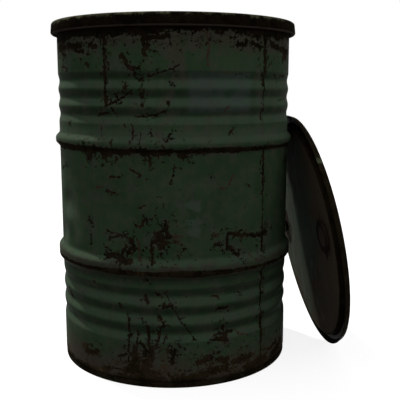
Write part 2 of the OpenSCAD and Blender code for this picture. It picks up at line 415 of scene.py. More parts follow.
SCRATCHES = [
    (2.4, (-30.5, 635), (-25, 648), (-18.4, 667)), (3.8, (-26.2, 660), (-25.8, 655)),
    (3.4, (-21.9, 674), (-21.5, 671)), (2.3, (-36.4, 614), (-29.8, 621)),
    (2.0, (-28.6, 631), (-26.2, 618)), (4.4, (-22.4, 741), (-20.4, 722), (-18, 713)),
    (4.6, (-18, 713), (-15.3, 715)), (2.6, (-16.6, 708), (-16.9, 698)), (2.4, (-10.9, 697), (-7.6, 703)),
    (2.2, (-6.6, 705), (-1, 713), (2.2, 721)), (3.0, (-0.8, 684), (0.2, 678)),
    (2.4, (-2.9, 643), (-2.6, 640)), (2.0, (-16, 612), (-8, 616)), (2.2, (-7.4, 617), (-4, 624)),
    (2.8, (-13.8, 697), (-13.7, 692)), (3.0, (-13.5, 668), (-13.4, 661)),
    (3.0, (-14, 638), (-13.6, 634)), (1.8, (-66.3, 719), (-62, 723), (-58.2, 716)),
    (2.2, (-46.6, 738), (-46, 735)), (2.4, (-42.4, 727), (-41, 720)), (1.4, (-72, 743), (-69, 744)),
    (2.4, (-58.4, 596), (-57.6, 589)), (2.6, (-10.2, 581), (-9.6, 577)), (3.4, (-1.6, 576), (-2.6, 571)),
    (2.8, (-2.6, 566), (-3.4, 561)), (1.5, (27, 588), (24.2, 571)), (2.2, (-22, 594), (-21.6, 590)),
    (2.6, (53.2, 703), (54.6, 699)), (1.8, (60, 700), (65.4, 703)), (2.4, (62.6, 740), (63, 734)),
    (1.3, (59, 645), (65, 649)), (1.8, (-19.6, 500), (-17.4, 493), (-15.4, 489)),
    (2.6, (-29.6, 480), (-25, 482)), (2.2, (-31.2, 449), (-27, 446)), (1.4, (-52, 441), (-51.2, 440)),
    (1.2, (0, 513), (-0.8, 484), (-2, 468)), (1.6, (-12.4, 480), (-12, 478)),
    (1.8, (16, 482), (16.3, 479)), (2.0, (-15.3, 413), (-13.5, 420)), (2.0, (-5, 424), (-4.9, 416)),
    (1.4, (34, 462), (36.2, 455)), (2.6, (67, 497), (73, 500)),
    (1.8, (-71, 482), (-66, 489), (-61, 495)), (2.6, (-43, 377), (-41, 369)),
    (2.4, (-30.6, 342), (-27, 347), (-20.8, 355)), (3.4, (-15.2, 372), (-13.6, 384)),
    (2.0, (-12.6, 389), (-10.2, 391)), (1.2, (-32, 357), (-24, 352)),
    (1.1, (-4.4, 226), (-1.4, 190), (3.4, 152), (9.4, 111)), (1.1, (1.6, 163), (4.4, 166)),
    (1.3, (-7.4, 100), (-9.4, 92)), (2.4, (-7.4, 170), (-5.2, 152), (-7.2, 134)),
    (3.0, (-7.2, 134), (-7.6, 118), (-9.2, 97)), (3.2, (-5.4, 158), (-5.0, 148)),
    (2.2, (-4.6, 122), (-5.4, 108)), (2.6, (-12.4, 254), (-12, 250)), (3.2, (-13.4, 216), (-13, 205)),
    (2.4, (-26.4, 193), (-25.6, 190)), (1.8, (-33.6, 225), (-33.2, 221)), (2.2, (-41, 234), (-40, 232)),
    (2.6, (-8.6, 223), (-6.4, 220)), (3.6, (-5.2, 193), (-1, 195)), (1.8, (-15.4, 163), (-15, 162)),
    (2.6, (18.8, 181), (24.6, 183)), (2.0, (17, 213), (20, 209)), (1.6, (30, 214), (31.6, 208)),
    (3.4, (-65, 183), (-61, 178)), (3.0, (-27.2, 66), (-23.2, 75)), (3.0, (-35.2, 32), (-26, 36)),
    (4.6, (25, 354), (30, 347), (36, 343), (44.6, 337)), (7.0, (43.6, 338), (47.2, 342)),
    (4.2, (27, 312), (30, 300)), (3.4, (25.4, 322), (26.2, 314)), (3.0, (17.4, 356), (18, 351)),
    (3.8, (18.4, 331), (19.8, 330)),
]
BLOTCHES = [
    (13, (-6.4, 350), (-5.6, 341)), (7, (-9, 342), (-2.4, 352)), (5, (-6.6, 361), (-3.6, 372)),
    (6, (-6, 334), (-5.4, 326)), (6, (-19.6, 342), (-18, 322)), (5, (-21.6, 306), (-20, 322)),
    (4.6, (-24, 318), (-25, 303)), (7, (-32, 300), (-26, 305)), (8, (-27, 298), (-21, 294)),
    (9, (-41.6, 520), (-40.8, 528)), (7, (-33, 528), (-29, 532)), (6, (2.2, 532), (4.6, 527)),
    (12, (-20.4, 32), (-18.4, 66)), (13, (-15, 30), (-13, 64)), (7, (-20, 76), (-18.6, 92)),
    (8, (-14, 74), (-13.4, 90)), (6, (-48, 56), (-40, 60)), (7, (-42, 58), (-39.6, 66)),
    (7, (-1.6, 66), (-0.6, 92)), (9, (11, 60), (17, 68)), (7, (19, 62), (24, 56)),
    (8, (28, 47), (38, 51)), (5, (22, 138), (23.6, 108)), (6, (19, 112), (24, 104)),
    (4, (20, 122), (27, 124)), (5, (52, 46), (60, 54)), (7, (-11.6, 98), (-10.8, 72)),
    (8, (-70, 768), (-60, 764)), (7, (-57, 769), (-46, 765)), (5, (-50, 757), (-44, 752)),
    (6, (-40, 766), (-36, 762)), (5, (29, 766), (33, 768)), (4.6, (37, 769), (42, 764)),
    (7, (50, 769), (56, 765)), (8, (60, 762), (72, 757)), (6, (64, 748), (68, 743)),
    (5, (-64, 751), (-60, 748)), (5, (-12, 776), (-2, 780)), (5.5, (-46, 537), (-38, 535)),
    (6, (-31, 536), (-20, 534)), (6, (-14, 534), (-2, 536)), (4.5, (4, 537), (12, 538)),
    (14, (-26, 14), (-8, 20)), (11, (-23, 36), (-9, 32)), (10, (12, 30), (24, 38)),
    (12, (36, 24), (48, 34)), (12, (55, 26), (68, 42)), (9, (0, 14), (12, 16)),
]
RED_MARKS = [
    (6.5, (-0.6, 346), (1.4, 340)), (4, (-1, 352), (3, 351)), (3.4, (20.4, 456), (23.8, 455)),
    (2.4, (24, 458), (27, 483)), (3.6, (-37.8, 454), (-34.4, 456)), (3.4, (15.2, 791), (14.4, 722)),
    (2.6, (13.6, 788), (15, 770)), (3.4, (-16.2, 338), (-15.8, 298)), (4, (36, 298), (39, 285)),
    (3, (30, 114), (36, 106)), (3.4, (23, 130), (24.2, 112)), (2.6, (25, 636), (22.4, 625)),
    (2.6, (27, 128), (31, 116)), (4, (17, 356), (18.6, 350)),
]


def on_wall(angle, height):
    """A place on the wall, from degrees round it and millimetres up it."""
    return math.radians(angle) * shell_r, height * mm, 0


def strongest(w, place, marks):
    """The strongest of these marks at a place on the wall, each a little wider than it is given.
    They are compared one by one, since a shader can't hold a value for every mark at once."""
    strong = []
    for half_width, *passed in marks:
        spots = [on_wall(*spot) for spot in passed]
        wide = half_width * 1.2 * mm
        for start, end in zip(spots, spots[1:]):
            stroke = w.use(STROKE, Place=place, From=start, To=end, Half_Width=wide)["Field"]
            strong = [w.most(*strong, stroke)]
    return strong[0]


def oval(w, place, middle, half_width, half_height):
    """A patch at a place, its half sizes in millimetres."""
    half_size = (half_width * mm, half_height * mm, 1)
    return w.use(PATCH, Place=place, Middle=middle, Half_Size=half_size)["Field"]


def emptied(owner):
    """The wiring of a material or world, with none of its nodes left."""
    owner.use_nodes = True
    owner.node_tree.nodes.clear()
    return Wiring(owner.node_tree)


def new_finish(name):
    """A material with nothing but its surface shader, and its wiring."""
    material = bpy.data.materials.new(name)
    w = emptied(material)
    shader = w.add("ShaderNodeBsdfPrincipled")
    w.add("ShaderNodeOutputMaterial", {"Surface": shader.outputs[0]})
    return material, w, shader


def bumped(w, shader, height):
    """Raises the surface by a height in millimetres."""
    node = w.add("ShaderNodeBump", {"Height": height, "Distance": mm, "Strength": 1})
    w.give(shader.inputs["Normal"], node.outputs[0])


paint_deep = (0.0098, 0.0212, 0.0096, 1)
paint_mid = (0.0138, 0.0272, 0.0130, 1)
# The chalk colour also serves as painted light, and the grime colour as painted shade
chalk_and_painted_light = (0.0280, 0.0430, 0.0285, 1)
grime_and_painted_shade = (0.0060, 0.0124, 0.0064, 1)
beige = (0.0250, 0.0225, 0.0178, 1)
moss = (0.0400, 0.0405, 0.0235, 1)
rust_deep = (0.0037, 0.0028, 0.0013, 1)
rust_brown = (0.0078, 0.0055, 0.0030, 1)
rust_ochre = (0.0200, 0.0125, 0.0070, 1)
dull = 0.003


def shell_finish():
    faded_blue = (0.0220, 0.0350, 0.0330, 1)
    pale_ghost = (0.0230, 0.0360, 0.0270, 1)
    pink_rust = (0.0190, 0.0100, 0.0072, 1)
    lining = (0.0150, 0.0150, 0.0110, 1)
    washed_dirt = (0.0172, 0.0150, 0.0105, 1)
    stain_beige = (0.0230, 0.0190, 0.0135, 1)
    splashed_dirt = (0.0250, 0.0185, 0.0145, 1)
    painted_highlight_line = (0.0190, 0.0145, 0.0115, 1)
    soaked_brown = (0.0165, 0.0115, 0.0095, 1)
    material, w, shader = new_finish("drum_paint")
    where = w.use(PLACE)
    point, height, proud, on_drum = [where[kind] for kind in ("Point", "Height", "Proud", "On Wall")]
    coarse = w.noise(point, 7, 4, 0.6)
    medium = w.noise(point, 38, 4, 0.65)
    fine = w.noise(point, 170, 3, 0.7)
    fray = w.plus(w.rag(medium, 2.6), w.rag(fine, 2.4))
    upward = w.parts(w.add("ShaderNodeNewGeometry").outputs["Normal"])[2]

    # Paint: clouded, paler on what faces up and darker on what faces down, and streaked by water
    colour = w.blend(w.fade(coarse, 0.36, 0.62), paint_deep, paint_mid)
    colour = w.blend(w.fade(medium, 0.5, 0.75, 0, 0.35), colour, chalk_and_painted_light)
    # Paler on what faces up: a painted light on the upper flanks of beads and hoops, with some dust
    colour = w.blend(w.fade(upward, 0.04, 0.10, 0, 0.45), colour, chalk_and_painted_light)
    # Darker on what faces down: a painted shade on the lower flanks of beads and hoops
    colour = w.blend(w.fade(upward, -0.05, -0.10, 0, 0.65), colour, grime_and_painted_shade)
    runs = w.use(RUNS, Point=point, Scale=70, Clear=0.45)["Mask"]
    colour = w.blend(w.product(runs, 0.22), colour, grime_and_painted_shade)

    # What a label and two stencilled spots left behind, as plain faded patches
    spot = w.vector("SUBTRACT", on_drum, on_wall(21, 663))
    spot_x, spot_y, _ = w.parts(w.vector("ABSOLUTE", spot))
    label_edge = w.rag(medium, 22 * mm)
    label = w.product(w.fade(w.plus(spot_x, label_edge), 80 * mm, 70 * mm),
                      w.fade(w.plus(spot_y, label_edge), 46 * mm, 38 * mm))
    colour = w.blend(w.product(label, w.fade(medium, 0.35, 0.6, 0.2, 0.6)), colour, faded_blue)
    # A painted highlight where the dent at the left catches the light, and a painted shade below it
    tilt = {"Vector": on_drum, "Location": on_wall(-63, 386), "Rotation": (0, 0, math.radians(-11))}
    tilted = w.add("ShaderNodeMapping", tilt, vector_type="TEXTURE").outputs[0]
    painted_dent_highlight = oval(w, tilted, (0, 0, 0), 80, 30)
    painted_dent_highlight = w.fade(w.plus(painted_dent_highlight, w.rag(medium, 1.4)), 0.0, 0.7, 0, 0.8)
    colour = w.blend(painted_dent_highlight, colour, chalk_and_painted_light)
    painted_dent_shade = oval(w, tilted, (0, -46 * mm, 0), 90, 26)
    colour = w.blend(w.fade(painted_dent_shade, 0.0, 0.8, 0, 0.5), colour, grime_and_painted_shade)
    stencilled = ((7.4, 421, 22, 13), (10, 412, 14, 9), (8, 383, 22, 12), (8.8, 363, 18, 16))
    ghosts = w.most(*[oval(w, on_drum, on_wall(angle, z), across, up)
                      for angle, z, across, up in stencilled])
    ghosts = w.fade(w.plus(ghosts, w.rag(medium, 2)), 0.0, 0.5, 0, 0.7)
    colour = w.blend(ghosts, colour, pale_ghost)

    # Rust by place: under the rim, along the lower side of each hoop, and up from the foot
    def from_edge(z, depth):
        return w.plus(w.over(w.minus(height, z), depth), fray)

    def along(z, half):
        return w.plus(w.minus(1, w.over(w.apart(height, z), half)), w.product(fray, 0.55))

    broad = w.rag(coarse, 4)
    drips = w.use(RUNS, Point=point, Scale=34, Clear=0.52)["Mask"]
    cleaner = w.fade(w.apart(where["Angle"], 14), 26, 12, 0, 0.6)
    rim = w.plus(w.minus(from_edge(782 * mm, 14 * mm), cleaner), broad)
    foot = w.plus(from_edge(28 * mm, -18 * mm), broad)
    hoops = w.most(along(540 * mm, 7.5 * mm), along(269 * mm, 6.5 * mm))
    hoops = w.plus(hoops, w.rag(w.noise(point, 5, 3, 0.6), 3))
    below = w.most(*[w.fade(w.minus(z, height), 0, 45 * mm, 1, 0) for z in (540.5 * mm, 790 * mm)])
    hanging = w.minus(w.plus(w.product(drips, below), w.product(fray, 0.25)), 0.62)
    places = w.most(rim, foot, hoops, hanging)

    # Listed marks, which the back half has again, and specks scattered about them
    wander_by = 12 * mm
    wander = w.vector("SUBTRACT", w.noise(point, 90, 4, 0.75, output=1), (0.5, 0.5, 0.5))
    wandering = w.vector("ADD", on_drum, w.vector("MULTIPLY", wander, (wander_by, wander_by, 0)))
    across, up, _ = w.parts(wandering)
    behind = w.math("GREATER_THAN", w.math("ABSOLUTE", across), math.pi / 2 * shell_r)
    half_round = w.product(w.product(w.math("SIGN", across), behind), math.pi * shell_r)
    all_round = w.flat(w.minus(across, half_round), up)
    dark = strongest(w, all_round, RUNS_DOWN + SCRATCHES + BLOTCHES)
    dark = w.most(dark, strongest(w, wandering, WELD_RUNS))
    ragged = w.plus(w.rag(fine, 3.2), w.rag(w.noise(point, 60, 3, 0.7), 2.2))
    dark_ragged = w.plus(dark, ragged)
    red = w.fade(w.plus(strongest(w, all_round, RED_MARKS), ragged), 0.0, 0.9)
    thick = w.most(w.fade(coarse, 0.46, 0.6, 0, 0.05), w.fade(height, 700 * mm, 785 * mm, 0, 0.1),
                   w.fade(height, 130 * mm, 30 * mm, 0, 0.1))
    specks = w.fade(w.plus(w.noise(point, 110, 4, 0.7), thick), 0.70, 0.725)
    close_by = w.most(w.fade(dark, -6, 0, 0, 0.13), w.fade(height, 725 * mm, 775 * mm, 0, 0.12),
                      w.fade(height, 90 * mm, 20 * mm, 0, 0.08))
    nearby = w.fade(w.plus(w.noise(point, 85, 4, 0.75), close_by), 0.675, 0.695)

    # Dirt washed down from the rim, and splashed up at the foot
    washed = w.plus(height, w.plus(w.rag(coarse, 90 * mm), w.rag(medium, 50 * mm)))
    colour = w.blend(w.fade(washed, 735 * mm, 782 * mm, 0, 0.8), colour, washed_dirt)
    stain = oval(w, on_drum, (5 * mm, 745 * mm, 0), 24, 80)
    stain = w.fade(w.plus(stain, w.rag(medium, 1.5)), -0.1, 0.6, 0, 0.5)
    colour = w.blend(stain, colour, stain_beige)
    splashed = w.plus(height, w.plus(w.rag(coarse, 160 * mm), w.rag(medium, 80 * mm)))
    colour = w.blend(w.fade(splashed, 100 * mm, 30 * mm, 0, 0.9), colour, splashed_dirt)

    # Everything rusted, with a pale halo about it
    field = w.most(places, dark_ragged)
    halo = w.product(w.fade(field, -1.3, 0.1), w.fade(medium, 0.38, 0.6, 0.15, 0.75))
    colour = w.blend(halo, colour, beige)
    soaked = w.fade(w.plus(w.rag(medium, 1.4), w.rag(coarse, 2)), -0.35, 0.35, 0.1, 0.75)
    soaked = w.product(soaked, w.fade(w.apart(height, 272 * mm), 24 * mm, 10 * mm))
    colour = w.blend(soaked, colour, soaked_brown)
    colour = w.blend(w.product(red, 0.85), colour, pink_rust)
    rusted = w.most(w.fade(field, 0.02, 0.25), specks, nearby)
    rust = w.use(RUST, Point=point, Deep=rust_deep, Brown=rust_brown, Ochre=rust_ochre)
    paler = w.product(w.fade(height, 120 * mm, 30 * mm, 0, 1.9), w.fade(dark_ragged, 0.6, -0.2, 0.3, 1))
    rust_colour = w.times(rust["Colour"], w.plus(paler, 1))
    # Rust darker toward the rim: a painted shade under the curl
    rust_colour = w.times(rust_colour, w.fade(height, 745 * mm, 778 * mm, 1, 0.6))
    colour = w.blend(rusted, colour, rust_colour)

    # Rim: all rust, with moss on its top and a painted highlight, a lighter line, along its lowest bend
    on_rim = w.product(w.fade(proud, 3 * mm, 5 * mm), w.fade(height, 790 * mm, 796 * mm))
    on_rim = w.most(on_rim, w.fade(height, 822 * mm, 826 * mm))
    more_left = w.fade(w.apart(where["Angle"], -80), 70, 30)
    grows = w.plus(height, w.plus(w.rag(medium, 30 * mm), w.rag(fine, 20 * mm)))
    grows = w.plus(grows, w.product(more_left, 3 * mm))
    mossy = w.fade(grows, 824 * mm, 830 * mm, 0, 0.8)
    tufts = w.fade(w.noise(point, 15, 3, 0.6), 0.44, 0.54, 0.1, 1)
    mossy = w.product(mossy, w.most(tufts, w.product(more_left, 0.8)))
    rim_colour = w.blend(mossy, w.times(rust["Colour"], 0.5), moss)
    # A painted highlight: a lighter line along the curl's lowest bend
    bend_highlight = w.fade(w.apart(height, 802.5 * mm), 1.2 * mm, 2.4 * mm, 1, 0)
    bend_highlight = w.product(bend_highlight, w.fade(medium, 0.3, 0.5, 0.5, 1))
    bend_highlight = w.product(bend_highlight, w.fade(proud, 6 * mm, 9 * mm))
    rim_colour = w.blend(bend_highlight, rim_colour, painted_highlight_line)
    colour = w.blend(on_rim, colour, rim_colour)

    # Inside: a dull lining, mostly gone to rust, and run with it
    inner = w.add("ShaderNodeAttribute", attribute_name="inner").outputs["Fac"]
    inner = w.product(inner, w.minus(1, on_rim))
    lined = w.fade(w.plus(w.rag(coarse, 4), w.rag(medium, 2)), 0.3, 0.5)
    lined = w.product(lined, w.fade(height, 100 * mm, 300 * mm))
    inside = w.blend(lined, rust["Colour"], lining)
    inside = w.blend(w.product(drips, 0.6), inside, rust_deep)
    colour = w.blend(inner, colour, inside)

    rough_rust = w.most(rusted, on_rim, inner)
    w.give(shader.inputs["Base Color"], colour)
    w.give(shader.inputs["Roughness"], w.fade(rough_rust, 0, 1, 0.55, 0.85))
    shader.inputs["Specular IOR Level"].default_value = dull

    # Relief: the beads' own hollows a little sharper, pitted rust, and orange peel in the paint
    beaded = w.product(w.math("MAXIMUM", w.math("MINIMUM", proud, 0), -bead_depth), 1.1 / mm)
    pits = w.product(w.minus(rust["Pits"], 1.6), w.product(rough_rust, 0.35))
    relief = w.plus(w.plus(beaded, pits), w.product(fine, 0.12))
    bumped(w, shader, w.blend_value(inner, relief, pits))
    return material


shell_path = (
    arc(curl_m - curl_low_bend, shell_h - curl_h + shell_t / 2 + curl_low_bend, curl_low_bend,
        -170, -10, 12)
    + arc(wall_m + curl_top_bend, shell_h - shell_t / 2 - curl_top_bend, curl_top_bend, 0, 180, 14)
    + wall(shell_h - shell_t / 2 - curl_top_bend, upper_band_z)
    + beads(upper_band_z, upper_bead_pitch)
    + hoop(upper_hoop_z, upper_hoop_w)
    + wall(upper_hoop_z - upper_hoop_w / 2, lower_hoop_z + lower_hoop_w / 2)
    + hoop(lower_hoop_z, lower_hoop_w)
    + beads(lower_band_z, lower_bead_pitch)
    + wall(lower_band_z - bead_count * lower_bead_pitch, seam_h + 6 * mm)
    + [(wall_m, seam_h + 6 * mm), (body_leg, seam_h + 1.5 * mm)]
    + arc(head_hook, fold_z, seam_layer, 180, 360, 8)
    + [(body_hook, crest_z)]
)
drum_paint = shell_finish()
outline = [(r, 0, z) for r, z in sheet(shell_path, shell_t)]
shell = add_line("shell", outline + outline[:1])
shape_with(shell, ROLL, Points=len(outline) + 1, Steps=224, Inner_From=len(shell_path), Finish=drum_paint)
# Each dent's place in degrees and millimetres, half its width and height, and its depth
DENTS = [
    (-62, 405, 60, 45, 3), (-70, 330, 50, 40, 2.5), (-55, 360, 40, 60, 1.5), (120, 430, 70, 60, 4),
    (150, 380, 50, 50, 3), (-150, 640, 55, 40, 2), (75, 130, 60, 40, 2.5), (-120, 120, 50, 40, 3),
    (10, 470, 70, 30, 1.0), (170, 690, 60, 40, 2), (-105, 480, 60, 60, 2.5),
]
for angle, height, half_width, half_height, depth in DENTS:
    shape_with(shell, KNOCK, Angle=math.radians(angle), Height=height * mm, Half_Width=half_width * mm,
               Half_Height=half_height * mm, Depth=depth * mm, Finish=drum_paint)
settle(shell)
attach(shell, "root")
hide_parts("body_shell")

# -------------------------------------------------- Side weld
# The seam where the sheet's two edges meet: a low bead of weld down the whole wall, over hoops and
# beads alike. It was painted with the rest, and has rusted first.
weld_angle = math.radians(45)
weld_w = 6 * mm
weld_proud = 0.5 * mm
weld_top_z, weld_foot_z = 797 * mm, 20 * mm


def weld_tree():
    """Lays a bead of weld, rippled as it was laid, down the drum along a row of points on its wall."""
    inputs = {"Geometry": "Geometry", "Points": "Int", "Angle": "Float", "Width": "Float", "Proud": "Float",
              "Finish": "Material"}
    tree, w, given, result = new_tree("lay weld", "GeometryNodeTree", inputs, {"Geometry": "Geometry"})
    around = 12
    grid, column, row, place = points_of(w, given, around + 1)
    about = w.product(column, -math.tau / around)
    inside = w.product(w.math("GREATER_THAN", row, 0.5),
                       w.math("LESS_THAN", row, w.minus(given["Points"], 1.5)))
    size = w.product(inside, w.fade(w.noise(place, 160, 2, 0.6), 0.3, 0.7, 0.75, 1))
    out = w.product(w.product(w.math("SINE", about), given["Proud"]), size)
    half = w.product(w.product(given["Width"], 0.5), size)
    across = w.product(w.math("COSINE", about), half)
    bead = turned_by(w, grid, w.vector("ADD", place, w.flat(out, across)), given["Angle"])
    finish_tree(w, closed_skin(w, bead), given, result)
    return tree


outside = [(r, 0, z) for r, z in beside(shell_path, shell_t / 2)
           if weld_foot_z < z < weld_top_z and r < wall_m + 12 * mm]
weld = add_line("side_weld", outside)
shape_with(weld, weld_tree(), Points=len(outside), Angle=weld_angle - math.radians(90), Width=weld_w,
           Proud=weld_proud, Finish=drum_paint)
settle(weld)
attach(weld, "root")

# -------------------------------------------------- Bottom
# A pressed steel disc, folded together with the wall's foot into a double seam that the drum stands on.
# Rusty steel below, where water crept under it, and inside as well, with patches of its last paint left.


def rusted(w, shader, point, deep, brown, ochre, roughness, pitting):
    """Gives a surface rust all over."""
    rust = w.use(RUST, Point=point, Deep=deep, Brown=brown, Ochre=ochre)
    w.give(shader.inputs["Roughness"], w.fade(rust["Pits"], 0.7, 1.3, roughness - 0.1, roughness))
    shader.inputs["Specular IOR Level"].default_value = dull
    bumped(w, shader, w.product(rust["Pits"], pitting))
    return rust["Colour"]


def bottom_finish():
    seam_rust = (0.0200, 0.0125, 0.0080, 1)
    last_paint = (0.0110, 0.0130, 0.0085, 1)
    material, w, shader = new_finish("bottom_rust")
    where = w.use(PLACE)
    colour = rusted(w, shader, where["Point"], rust_deep, rust_brown, seam_rust, 0.85, 0.35)
    left = w.noise(where["Point"], 22, 4, 0.65)
    colour = w.blend(w.fade(left, 0.5, 0.62, 0, 0.6), colour, last_paint)
    ring = w.math("SINE", w.product(where["Proud"], math.tau / (25 * mm)))
    colour = w.blend(w.fade(w.plus(ring, w.rag(left, 6)), 0.6, 1.2, 0, 0.4), colour, rust_deep)
    w.give(shader.inputs["Base Color"], colour)
    return material


def finish_node(name, material):
    """Puts a finish on a part that keeps its own shape."""
    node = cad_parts[name]
    node.data.materials.clear()
    node.data.materials.append(material)


finish_node("bottom_head", bottom_finish())

# -------------------------------------------------- Loose cover
# The pressed lid of the open mouth: a panel sunk within a raised rim, with a short skirt. It has been
# taken off, and leans on the upper hoop with its inner side to the drum. Painted, and browned by wet.
cover_lean, cover_turn = math.radians(10.4), math.radians(4.2)
gasket_rise = 11.3 * mm
cover_turned = Euler((0, math.radians(90) - cover_lean, cover_turn)).to_matrix()
cover_out = cover_turned @ Vector((0, 0, 1))
gasket_low, gasket_high = (Vector(corner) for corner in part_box("cover_gasket"))
cover_middle = (gasket_low + gasket_high) / 2 - cover_out * gasket_rise
fitting_r, fitting_turn = 205 * mm, math.radians(7)
fitting_way = Vector((-math.sin(fitting_turn), -math.cos(fitting_turn), 0))
bung_place, vent_place = fitting_way * fitting_r, -fitting_way * fitting_r


def cover_place_tree():
    """Where a point is on the cover, from its middle, how far out, and whether it faces outward."""
    outputs = {"Point": "Vector", "Flat": "Vector", "Out": "Float", "Outward": "Float"}
    tree, w, given, result = new_tree("place on cover", "ShaderNodeTree", {}, outputs)
    point = w.add("ShaderNodeTexCoord").outputs["Object"]
    turn = {"Vector": point, "Location": cover_middle, "Rotation": cover_turned.to_euler()}
    local = w.add("ShaderNodeMapping", turn, vector_type="TEXTURE").outputs[0]
    flat = w.vector("MULTIPLY", local, (1, 1, 0))
    normal = w.add("ShaderNodeNewGeometry").outputs["Normal"]
    w.give(result["Point"], local)
    w.give(result["Flat"], flat)
    w.give(result["Out"], w.vector("LENGTH", flat))
    w.give(result["Outward"], w.vector("DOT_PRODUCT", normal, cover_out))
    return tree


COVER_PLACE = cover_place_tree()


def cover_finish():
    panel_green = (0.0190, 0.0330, 0.0205, 1)
    panel_grey = (0.0260, 0.0370, 0.0265, 1)
    panel_chalk_and_sunlight = (0.0560, 0.0660, 0.0500, 1)
    wet_brown = (0.0300, 0.0225, 0.0150, 1)
    dried_pink = (0.0480, 0.0330, 0.0265, 1)
    edge_brown = (0.0062, 0.0046, 0.0026, 1)
    stain_red = (0.0125, 0.0050, 0.0036, 1)
    lichen = (0.0310, 0.0375, 0.0210, 1)
    material, w, shader = new_finish("cover_paint")
    where = w.use(COVER_PLACE)
    point, flat, out = where["Point"], where["Flat"], where["Out"]
    x, y, _ = w.parts(point)
    coarse = w.noise(point, 9, 4, 0.6)
    medium = w.noise(point, 38, 4, 0.65)
    fine = w.noise(point, 170, 3, 0.7)
    broad = w.rag(coarse, 4)
    fray = w.plus(w.rag(medium, 2.6), w.rag(fine, 2.4))
    rust = w.use(RUST, Point=point, Deep=rust_deep, Brown=rust_brown, Ochre=rust_ochre)

    # Inner side: grey-green in the middle, painted paler where the sun falls, brown toward its edge
    colour = w.blend(w.fade(medium, 0.4, 0.6), panel_green, panel_grey)
    # Paler toward the far side: painted sunlight over some chalk
    lit = w.plus(y, w.product(broad, 30 * mm))
    colour = w.blend(w.fade(lit, 0, 120 * mm, 0, 0.75), colour, panel_chalk_and_sunlight)
    wet = w.most(w.over(w.minus(out, 255 * mm), 30 * mm),
                 w.over(w.minus(w.product(y, -1), 120 * mm), 60 * mm),
                 w.over(w.minus(w.minus(x, w.product(y, 1.5)), 190 * mm), 60 * mm))
    wet = w.plus(wet, w.plus(broad, w.product(fray, 0.4)))
    colour = w.blend(w.fade(wet, -0.5, 0.5, 0, 0.9), colour, wet_brown)
    tall = w.add("ShaderNodeMapping", {"Vector": point, "Scale": (0.08, 1, 1)}).outputs[0]
    runs = w.noise(tall, 70, 3, 0.6)
    colour = w.blend(w.fade(runs, 0.48, 0.66, 0, 0.55), colour, wet_brown)
    dried = w.fade(w.plus(out, w.math("ABSOLUTE", x)), 200 * mm, 300 * mm)
    dried = w.product(w.fade(medium, 0.47, 0.58), dried)
    colour = w.blend(w.product(dried, 0.35), colour, dried_pink)

    # Stains about the two fittings, and a run of rust below the bung
    near = w.most(oval(w, flat, bung_place, 60, 60), oval(w, flat, vent_place, 66, 66))
    stained = w.fade(w.plus(near, w.product(fray, 0.35)), 0.0, 0.35, 0, 0.8)
    colour = w.blend(stained, colour, stain_red)
    drip_from = bung_place + Vector((41 * mm, -2 * mm, 0))
    drip_to = drip_from + Vector((7 * mm, 0, 0))
    drip = w.use(STROKE, Place=flat, From=drip_from, To=drip_to, Half_Width=10 * mm)["Field"]
    colour = w.blend(w.fade(w.plus(drip, w.product(fray, 0.3)), 0.1, 0.4), colour, rust_deep)

    # Channel and skirt: dark brown all round, with a little lichen
    edge = w.fade(w.plus(out, w.product(fray, 1.5 * mm)), 276 * mm, 283 * mm)
    edge_colour = w.blend(w.fade(medium, 0.4, 0.6), edge_brown, w.times(rust["Colour"], 0.85))
    lichens = ((-206, -221, 13), (236, -188, 16), (-298, -40, 18), (285, 60, 18))
    grown = w.most(*[oval(w, flat, (a * mm, b * mm, 0), size, size) for a, b, size in lichens])
    grown = w.fade(w.plus(grown, w.product(fray, 1.1)), 0.05, 0.55, 0, 0.85)
    colour = w.blend(edge, colour, edge_colour)
    colour = w.blend(grown, colour, lichen)
    ochre = oval(w, flat, (-190 * mm, -234 * mm, 0), 11, 11)
    colour = w.blend(w.fade(ochre, 0.1, 0.6), colour, rust_ochre)

    # Outer side: the drum's own green, chalked by weather, with rust in its channel and scattered on it
    weathered = w.blend(w.fade(coarse, 0.36, 0.62), paint_deep, paint_mid)
    weathered = w.blend(w.fade(medium, 0.45, 0.75, 0, 0.4), weathered, chalk_and_painted_light)
    weathered = w.blend(w.fade(runs, 0.45, 0.7, 0, 0.3), weathered, grime_and_painted_shade)
    low_part = w.over(w.minus(x, 200 * mm), 50 * mm)
    ring = w.minus(0.9, w.over(w.apart(out, 288 * mm), 10 * mm))
    patches = w.minus(w.rag(coarse, 9), 1.1)
    worn = w.most(ring, low_part, patches, w.plus(near, 0.1))
    worn = w.plus(worn, w.product(fray, 0.9))
    weathered = w.blend(w.product(w.fade(worn, -1.4, 0.1), 0.5), weathered, beige)
    weathered = w.blend(w.fade(worn, 0.02, 0.25), weathered, rust["Colour"])
    skirt = w.fade(w.plus(out, w.product(fray, 2 * mm)), 294 * mm, 299 * mm)
    weathered = w.blend(skirt, weathered, edge_colour)
    weathered = w.blend(grown, weathered, lichen)
    colour = w.blend(w.fade(where["Outward"], -0.05, 0.05), colour, weathered)

    w.give(shader.inputs["Base Color"], colour)
    w.give(shader.inputs["Roughness"], w.fade(medium, 0.3, 0.7, 0.6, 0.85))
    shader.inputs["Specular IOR Level"].default_value = dull
    bumped(w, shader, w.plus(w.product(coarse, 2.5), w.product(rust["Pits"], 0.2)))
    return material


finish_node("cover", cover_finish())

# -------------------------------------------------- Cover gasket
# A ring of hollow rubber in the cover's channel, pressed against the drum's rim when it was closed.
# Perished: cracked, gone grey at its surface and brown with rust off the channel.


